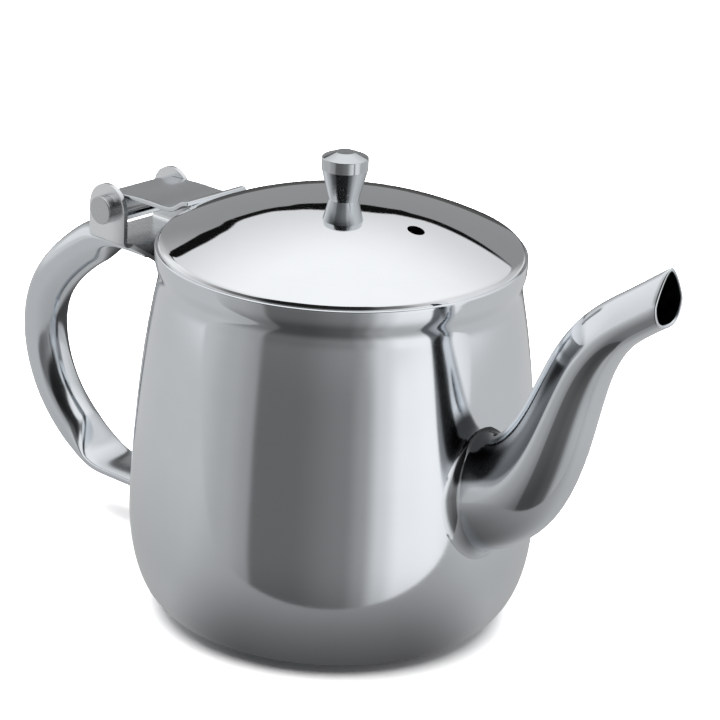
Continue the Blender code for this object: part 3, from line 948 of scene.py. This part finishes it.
HOOD = (             # azimuth, how far the front is blacked out above the horizon
    (-180.0, 0.0), (-150.0, 0.15), (-115.0, 0.70), (-88.0, 0.93), (-30.0, 0.93), (-12.0, 0.75),
    (8.0, 0.35), (30.0, 0.0), (180.0, 0.0),
)
FRONT_EDGE = (       # azimuth, elevation where the white ceiling begins, from the back round by the front
    (-180.0, 32.0), (-150.0, 32.0), (-112.0, 34.0), (-90.0, 46.0), (-80.0, 50.0), (-28.0, 50.0),
    (-18.0, 44.0), (40.0, 36.0), (80.0, 25.5),
)
REAR_EDGE = 24.8     # the same along the wall behind the handle's far side
BACK_EDGE = 32.0
CABINETS = (         # two dark boxes on that wall: azimuth, half width, rise of the ceiling's edge
    (132.5, 8.5, 4.4),
    (156.5, 6.0, 5.0),
)
DARK_GAP = 3.0       # height of the dark gap along the wall, which each box deepens by as much again
GAP_LEVEL = 0.006
CEILING_LOW = 0.78
CEILING_HIGH = 1.12
WORLD_GAIN = 0.96
SUN_STRENGTH = 8.5


def box_share(azimuth, middle, half_width):
    """1 in front of a box on the wall, 0 beside it."""
    return math.exp(-((azimuth - middle) / half_width) ** 4)


def ceiling_edge():
    """(azimuth, elevation) where the white ceiling begins."""
    rear = []
    for azimuth in range(104, 180, 4):
        rise = sum(height * box_share(azimuth, middle, half) for middle, half, height in CABINETS)
        back = (BACK_EDGE - REAR_EDGE) * smooth_step((azimuth - 160.0) / 20.0)
        rear.append((azimuth, REAR_EDGE + rise + back))
    return [*FRONT_EDGE, *rear, (180.0, BACK_EDGE)]


def dark_gap():
    """(azimuth, height) of the dark gap under the ceiling's rear edge."""
    stops = []
    for azimuth in range(102, 177, 3):
        ends = smooth_step((azimuth - 102.0) / 18.0) * smooth_step((174.0 - azimuth) / 10.0)
        boxes = sum(box_share(azimuth, middle, half) for middle, half, _ in CABINETS)
        stops.append((azimuth, DARK_GAP * ends * (1.0 + boxes)))
    return stops


def studio():
    """Surroundings that the steel reflects: walls by azimuth and a white ceiling; the camera sees white."""
    world = bpy.data.worlds.new("studio")
    bpy.context.scene.world = world
    world.use_nodes = True
    nodes = world.node_tree.nodes
    links = world.node_tree.links
    nodes.clear()

    def calc(operation, a, b=0.0, clamp=False):
        made = nodes.new("ShaderNodeMath")
        made.operation = operation
        made.use_clamp = clamp
        for socket, value in zip(made.inputs, (a, b)):
            if isinstance(value, bpy.types.NodeSocket):
                links.new(value, socket)
            else:
                socket.default_value = value
        return made.outputs[0]

    def ramp(value, stops):
        made = nodes.new("ShaderNodeValToRGB")
        made.color_ramp.interpolation = "EASE"
        links.new(value, made.inputs[0])
        elements = made.color_ramp.elements
        while len(elements) > 1:
            elements.remove(elements[-1])
        for k, (place, level) in enumerate(stops):
            element = elements[0] if k == 0 else elements.new(place)
            element.position = place
            element.color = (level, level, level, 1.0)
        return made.outputs[0]

    def band(value, low, high):
        made = nodes.new("ShaderNodeMapRange")
        made.interpolation_type = "SMOOTHSTEP"
        links.new(value, made.inputs["Value"])
        if isinstance(low, bpy.types.NodeSocket):
            links.new(low, made.inputs["From Min"])
            links.new(high, made.inputs["From Max"])
        else:
            made.inputs["From Min"].default_value = low
            made.inputs["From Max"].default_value = high
        return made.outputs["Result"]

    def mix(share, a, b):
        return calc("ADD", calc("MULTIPLY", share, b),
                    calc("MULTIPLY", calc("SUBTRACT", 1.0, share), a))

    def by_azimuth(stops, scale=1.0):
        return ramp(turn, [((a + 180.0) / 360.0, level * scale) for a, level in stops])

    direction = nodes.new("ShaderNodeTexCoord").outputs["Generated"]
    split = nodes.new("ShaderNodeSeparateXYZ")
    links.new(direction, split.inputs[0])
    turn = calc("ADD", calc("DIVIDE", calc("ARCTAN2", split.outputs[1], split.outputs[0]), TAU), 0.5)
    height = calc("DIVIDE", calc("ARCSINE", split.outputs[2]), math.pi / 2)

    sunk = band(height, -50.0 / 90.0, -14.0 / 90.0)
    low = calc("MULTIPLY", by_azimuth(LOW_LIGHT), mix(sunk, 0.45, 1.0))
    low = mix(band(height, -5.0 / 90.0, 4.0 / 90.0), low, by_azimuth(HORIZON_LIGHT))
    hood = calc("MULTIPLY", band(height, 5.0 / 90.0, 13.0 / 90.0), by_azimuth(HOOD))
    low = calc("MULTIPLY", low, calc("SUBTRACT", 1.0, hood))
    edge = by_azimuth(ceiling_edge(), 1.0 / 90.0)
    depth = by_azimuth(dark_gap(), 1.0 / 90.0)
    line = band(height, calc("SUBTRACT", calc("SUBTRACT", edge, depth), 0.004),
                calc("SUBTRACT", edge, depth))
    line = calc("MULTIPLY", line, calc("MULTIPLY", depth, 60.0, True))
    above = band(height, calc("SUBTRACT", edge, 0.006), calc("ADD", edge, 0.006))
    rise = band(height, 24.0 / 90.0, 60.0 / 90.0)
    ceiling = mix(rise, CEILING_LOW, CEILING_HIGH)
    level = mix(above, mix(line, low, GAP_LEVEL), ceiling)
    strength = calc("MULTIPLY", level, WORLD_GAIN)

    seen = nodes.new("ShaderNodeLightPath").outputs["Is Camera Ray"]
    strength = mix(seen, strength, 1.0)
    background = nodes.new("ShaderNodeBackground")
    background.inputs["Color"].default_value = (1.0, 1.0, 1.0, 1.0)
    links.new(strength, background.inputs["Strength"])
    output = nodes.new("ShaderNodeOutputWorld")
    links.new(background.outputs[0], output.inputs[0])

    sun = bpy.data.lights.new("softbox", "SUN")
    sun.energy = SUN_STRENGTH
    sun.angle = math.radians(80.0)
    lamp = bpy.data.objects.new("softbox", sun)
    lamp.visible_glossy = False
    bpy.context.scene.collection.objects.link(lamp)


# Camera -------------------------------------------------------------------------------------------
def camera():
    """Camera in front of the pot, between the spout and the near side, rolled a little."""
    data = bpy.data.cameras.new("camera")
    data.lens = CAMERA_LENS
    data.sensor_width = 36.0
    data.clip_start = 0.05
    eye = bpy.data.objects.new("camera", data)
    back = Vector((math.sin(CAMERA_AZIMUTH) * math.cos(CAMERA_ELEVATION),
                   -math.cos(CAMERA_AZIMUTH) * math.cos(CAMERA_ELEVATION),
                   math.sin(CAMERA_ELEVATION)))
    right = Vector((0, 0, 1)).cross(back).normalized()
    up = back.cross(right)
    turn = Matrix.Rotation(CAMERA_ROLL, 3, back)
    axes = Matrix((turn @ right, turn @ up, back)).transposed()
    place = Vector(CAMERA_AIM) * MM + back * CAMERA_DISTANCE * MM
    eye.matrix_world = Matrix.Translation(place) @ axes.to_4x4()
    bpy.context.scene.collection.objects.link(eye)
    bpy.context.scene.camera = eye


floor()
studio()
camera()
bpy.context.scene.view_settings.view_transform = "Standard"
